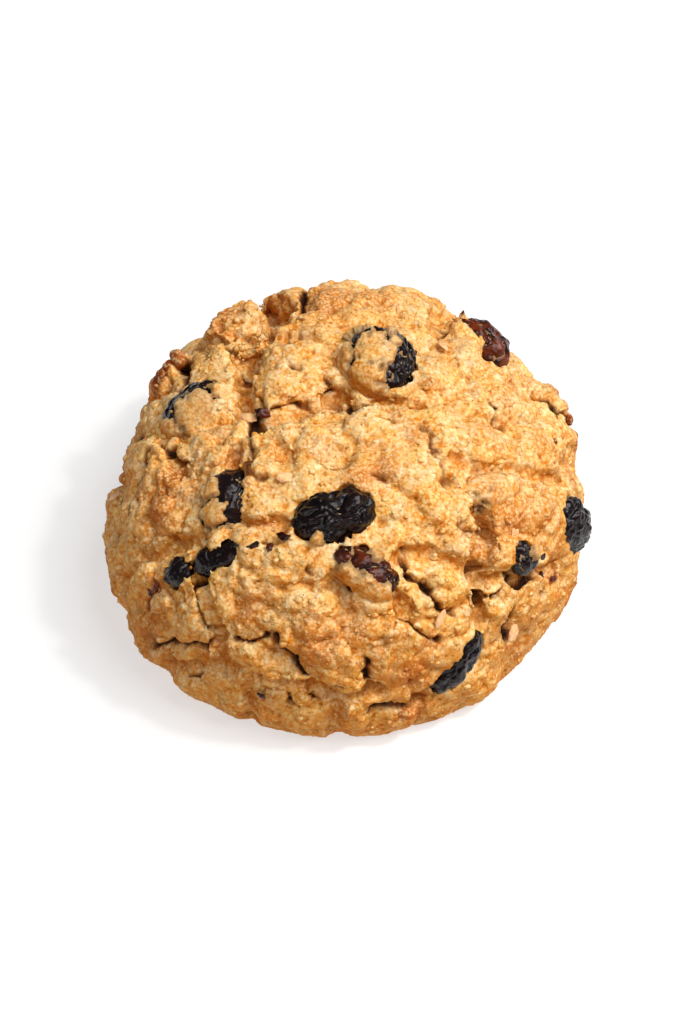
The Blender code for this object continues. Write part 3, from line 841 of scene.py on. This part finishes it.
def oat_flake(dice):
    """A rolled oat lying flat at the origin, in metres: an oval with a dent along it and a ragged rim."""
    flake = bmesh.new()
    bmesh.ops.create_icosphere(flake, subdivisions=3, radius=0.5)
    bend, seed = dice.uniform(-0.5, 0.5), dice.uniform(0.0, 50.0)
    for vert in flake.verts:
        ragged = 1.0 + FLAKE_RAGGED * noise.noise(vert.co * 4.0 + Vector((seed, 0.0, 0.0)))
        along, across = vert.co.x * FLAKE_LENGTH * ragged, vert.co.y * FLAKE_WIDTH * ragged
        dent = FLAKE_DENT * math.exp(-((across / FLAKE_DENT_WIDTH) ** 2))
        twist = FLAKE_TWIST * bend * along * across
        height = vert.co.z * FLAKE_THICKNESS + twist + FLAKE_RISE * bend * along - dent
        vert.co = Vector((along, across, height)) * MM
    return flake


def add_to_heap(heap, piece):
    """Adds a small piece to a heap of them, both as bmeshes, and frees it."""
    mesh = bpy.data.meshes.new("small_piece")
    piece.to_mesh(mesh)
    piece.free()
    heap.from_mesh(mesh)
    bpy.data.meshes.remove(mesh)


dice = random.Random(FLAKE_SEED)
flakes = bmesh.new()
spots = [(on_cookie(bearing, rise), math.radians(turn)) for bearing, rise, turn in PLACED_FLAKES]
spots += [(place, dice.uniform(0.0, math.tau)) for place, _, _ in scatter_spots(dice, FLAKE_COUNT)]
for place, turn in spots:
    out = caster.find_nearest(place)[1]
    tilt = Matrix.Rotation(dice.uniform(-FLAKE_TILT, FLAKE_TILT), 4, "X")
    share = dice.uniform(*FLAKE_SHARES)
    level = out.to_track_quat("Z", "Y").to_matrix().to_4x4()
    lying = level @ Matrix.Rotation(turn, 4, "Z") @ tilt @ Matrix.Scale(share, 4)
    flake = oat_flake(dice)
    flake.transform(Matrix.Translation(place) @ lying)
    add_to_heap(flakes, flake)
oats = object_of("oat_flakes", flakes, oat_material)
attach(oats, "root")


# --------------------------------------------------------------------------------------------------
# Raisins. Dried grapes that swelled a little in the damp dough: dark, glossy skin in soft folds along
# their length. Each is the solid raisin in fine faces and sits in its own pocket in the dough.
RAISIN_VOXEL = 0.26 * MM
RAISIN_ROUNDS = 6
RAISIN_SWELL = 0.15
# Ridges and furrows: their reach across, their depth, how far they are drawn out along the raisin,
# and how far they bend, with the fine puckers after them, in mm
FOLD_REACH, FOLD_DEPTH, FOLD_STRETCH = 2.6, 1.0, 1.6
FOLD_BEND_REACH, FOLD_BEND = 2.4, 0.5
PUCKER_REACH, PUCKER_DEPTH = 0.8, 0.42
SKIN_SHEEN = (0.97, 0.93, 0.94, 1.0)


def raisin_material(name, skin, ridge, flesh, flesh_glow):
    """Glossy skin, lighter on its ridges, with blotches where the flesh glows through."""
    made = bpy.data.materials.new(name)
    made.use_nodes = True
    tree = made.node_tree
    shader = tree.nodes["Principled BSDF"]
    where = add(tree, "ShaderNodeTexCoord").outputs["Object"]
    folds = add(tree, "ShaderNodeAttribute", attribute_name="folds").outputs["Fac"]
    blotch = grain_noise(tree, where, 300.0, 3.0, 0.6)
    base = mix(tree, ramp(tree, folds, ((0.35, 0.0), (0.9, 1.0))), skin, ridge)
    tinted = mix(tree, ramp(tree, blotch, ((0.45, 0.0), (0.65, flesh_glow))), base, flesh)
    tree.links.new(tinted, shader.inputs["Base Color"])
    wet = ramp(tree, grain_noise(tree, where, 500.0, 3.0, 0.6), ((0.35, 0.16), (0.65, 0.30)))
    tree.links.new(wet, shader.inputs["Roughness"])
    puckers = maths(tree, "ABSOLUTE", maths(tree, "SUBTRACT", grain_noise(tree, where, 760.0, 3.0, 0.6), 0.5))
    bump = add(tree, "ShaderNodeBump", {"Height": puckers, "Distance": 0.55 * MM, "Strength": 0.7})
    tree.links.new(bump.outputs["Normal"], shader.inputs["Normal"])
    shader.inputs["Specular IOR Level"].default_value = 0.10
    shader.inputs["Specular Tint"].default_value = SKIN_SHEEN
    shader.inputs["Coat Weight"].default_value = 0.60
    shader.inputs["Coat IOR"].default_value = 1.36
    shader.inputs["Coat Roughness"].default_value = 0.05
    shader.inputs["Coat Tint"].default_value = SKIN_SHEEN
    return made


dark_skin = raisin_material("dark_raisin_skin", srgb(9, 5, 6), srgb(19, 12, 14), srgb(80, 32, 16), 0.08)
red_skin = raisin_material("red_raisin_skin", srgb(24, 9, 8), srgb(54, 20, 12), srgb(130, 54, 20), 0.6)
RED_RAISINS = {"raisin_red": red_skin, "raisin_back_right": red_skin}


def long_axes(points, middle):
    """A raisin's own axes: the longest first."""
    spread = np.array([tuple(p - middle) for p in points])
    _, axes = np.linalg.eigh(spread.T @ spread)
    return [Vector(axes[:, k]) for k in (2, 1, 0)]


# A raisin that dried pinched in two: where along it from the middle, how wide and how deep the
# pinch is, in mm
PINCHES = {"raisin_centre": (-1.0, 1.4, 0.9)}


def fold_height(local, seed):
    """Rounded ridges between sharp furrows, drawn out along the raisin: their height in mm, and how
    near the top of a ridge it is."""
    pulled = Vector((local.x / FOLD_STRETCH, local.y, local.z)) + seed
    pulled += noise.noise_vector(local / FOLD_BEND_REACH + seed) * FOLD_BEND
    wide = abs(noise.noise(pulled / FOLD_REACH)) ** 0.6
    fine = abs(noise.noise(pulled / PUCKER_REACH + seed)) ** 0.7
    return FOLD_DEPTH * (wide - 0.55) + PUCKER_DEPTH * (fine - 0.5), min(wide * 1.5, 1.0)


raisin_middles = {}
for name in raisin_names:
    berry = remeshed(merged_copy(name), RAISIN_VOXEL)
    relax(berry, berry.verts[:], RAISIN_ROUNDS)
    berry.normal_update()
    middle = sum((v.co for v in berry.verts), Vector()) / len(berry.verts)
    axes = long_axes([v.co for v in berry.verts], middle)
    seed = Vector((len(name) * 3.7, sum(map(ord, name)) % 53, 1.9))
    folds = berry.verts.layers.float.new("folds")
    moved = []
    for vert in berry.verts:
        local = Vector([(vert.co - middle).dot(axis) for axis in axes]) / MM
        height, ridge = fold_height(local, seed)
        if name in PINCHES:
            at, wide, deep = PINCHES[name]
            height -= deep * math.exp(-(((local.x - at) / wide) ** 2))
        vert[folds] = ridge
        moved.append((vert, vert.co + vert.normal * (RAISIN_SWELL + height) * MM))
    for vert, place in moved:
        vert.co = place
    raisin_middles[name] = middle
    raisin = object_of(name + "_skin", berry, RED_RAISINS.get(name, dark_skin))
    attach(raisin, "root")
    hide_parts(name)


# --------------------------------------------------------------------------------------------------
# Raisin scraps. Bits of raisin skin that tore off in the mixing: small flat lumps, dark red and
# glossy, sunk in the dough.
# Bearing, elevation, length and breadth in mm
SCRAPS = (
    (-109, 44, 2.6, 1.3), (-106, 45, 1.8, 1.2), (-112, 41, 1.6, 0.9), (-162, 66, 2.2, 1.6),
    (-138, 20, 1.8, 0.9), (-139, 18, 1.2, 0.8), (-34, 22, 1.4, 0.9), (-33, 15, 1.3, 1.0),
    (-30, 11, 1.3, 0.9), (-117, 40, 2.4, 1.0), (-108, 6, 1.4, 1.1), (128, 51, 1.3, 0.9),
)
SCRAP_HEIGHT, SCRAP_CRUMPLE = 0.5, 0.7
SCRAP_SEED = 5

dice = random.Random(SCRAP_SEED)
heap = bmesh.new()
for bearing, rise, length, breadth in SCRAPS:
    place = on_cookie(bearing, rise)
    out = caster.find_nearest(place)[1]
    scrap = bmesh.new()
    scrap.verts.layers.float.new("folds")
    bmesh.ops.create_icosphere(scrap, subdivisions=3, radius=0.5)
    for vert in scrap.verts:
        crumple = 1.0 + SCRAP_CRUMPLE * noise.noise(vert.co * 3.0 + Vector((bearing, rise, 0.0)))
        vert.co = Vector((vert.co.x * length, vert.co.y * breadth, vert.co.z * SCRAP_HEIGHT)) * crumple * MM
    scrap.transform(Matrix.Translation(place) @ turned_to(out, dice))
    add_to_heap(heap, scrap)
scraps = object_of("raisin_scraps", heap, red_skin)
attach(scraps, "root")


# --------------------------------------------------------------------------------------------------
# Dough films. Where a raisin lies just under the crust, thin dough stayed baked onto it in ragged
# patches. Each film wraps its raisin, outside the skin where the dough stayed and hidden inside it
# elsewhere.
FILM_VOXEL = 0.33 * MM
FILM_LIFT, FILM_HIDDEN = 0.70, -0.35
# How ragged a patch's edge is, how steeply it ends and how far in it thickens, as shares of its reach
FILM_RAGGED, FILM_END, FILM_EDGE = 0.45, 0.16, 0.5
# Patches on each raisin: where from its middle in mm (east, north, up), reach in mm, thickness in mm
FILMS = {
    "raisin_ring": (
        (-1.0, -1.5, 4.8, 4.2, 0.4), (-2.5, -5.0, 2.0, 4.0, 0.6), (-5.0, -1.5, 0.5, 3.6, 0.6),
        (-1.0, -7.5, 0.0, 3.0, 0.6), (-5.6, -0.2, 2.2, 2.2, 0.4), (-4.0, 5.5, 1.0, 2.6, 0.5),
        (2.6, 0.6, 5.0, 1.3, 0.3), (2.0, 3.4, 4.4, 1.0, 0.2)),
    "raisin_shoulder": (
        (0.8, -2.9, 3.4, 4.4, 0.15), (4.2, 0.5, 2.4, 3.0, 0.6), (1.5, -5.8, 0.0, 3.6, 0.6),
        (-4.5, -4.5, 0.5, 2.4, 0.4)),
    "raisin_cheek": (
        (-2.4, -3.4, 1.6, 2.7, 0.25), (-0.5, -5.1, -2.3, 3.2, 0.9), (4.2, -1.0, 1.1, 2.2, 0.5),
        (-3.5, 1.0, 2.8, 2.2, 0.5)),
    "raisin_slit": (
        (-2.0, -0.8, 2.6, 3.4, 0.6), (1.0, -1.8, 1.8, 3.4, 0.6), (3.6, 0.8, 0.8, 3.0, 0.6),
        (-4.0, 1.4, 1.2, 2.8, 0.6), (0.5, 1.2, 2.6, 3.0, 0.6)),
    "raisin_red": (
        (-4.0, -3.0, 1.0, 2.6, 0.5), (-1.5, -4.6, -0.5, 2.8, 0.5), (2.0, -6.0, -1.5, 2.6, 0.5),
        (2.4, 1.2, 3.4, 1.6, 0.3)),
    "raisin_hollow": ((2.2, 0.4, 0.8, 1.4, 0.2),),
    "raisin_centre": ((-2.5, -4.9, 0.6, 1.3, 0.7),),
    "raisin_back_left": ((2.0, -2.0, 4.0, 7.0, 0.4), (-2.0, -1.0, 4.0, 6.0, 0.4)),
    "raisin_back_right": ((-4.0, -2.2, 1.4, 1.8, 0.3),),
}

film_material = dough_material("film_dough", 0.0, over_raisin=True)
for name, patches in FILMS.items():
    middle = raisin_middles[name]
    hidden = FILM_HIDDEN - (PINCHES[name][2] if name in PINCHES else 0.0)
    skin = remeshed(merged_copy(name), FILM_VOXEL)
    relax(skin, skin.verts[:], RAISIN_ROUNDS)
    skin.normal_update()
    wrap = BVHTree.FromBMesh(skin)
    stays = [(wrap.find_nearest(middle + Vector(patch[:3]) * MM)[0], *patch[3:]) for patch in patches]
    tones = skin.verts.layers.float_color.new("tones")
    thin = skin.verts.layers.float.new("thin")
    moved = []
    for vert in skin.verts:
        place = vert.co / MM
        ragged = FILM_RAGGED * (noise.noise(place / 1.4) + 0.5 * noise.noise(place / 0.55))
        cover, thick = 0.0, 0.0
        for spot, reach, thickness in stays:
            share = 1.0 - (vert.co - spot).length / (reach * MM) + ragged
            if share > cover:
                cover, thick = share, thickness
        lumps, seam, tone = lump_height(place)
        on = smooth_step(cover / FILM_END)
        edge = 1.0 - smooth_step(cover / FILM_EDGE)
        height = hidden + on * (FILM_LIFT - hidden + thick * (1.0 - edge) + 0.3 * lumps)
        # The film's seams get a little painted shade
        vert[tones] = (0.3 * seam, tone, 0.1, 0.5)
        vert[thin] = 0.8 * edge + (1.0 - edge) * max(0.0, 0.5 - thick)
        moved.append((vert, vert.co + vert.normal * height * MM))
    for vert, place in moved:
        vert.co = place
    film = object_of(name + "_dough_film", skin, film_material)
    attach(film, "root")
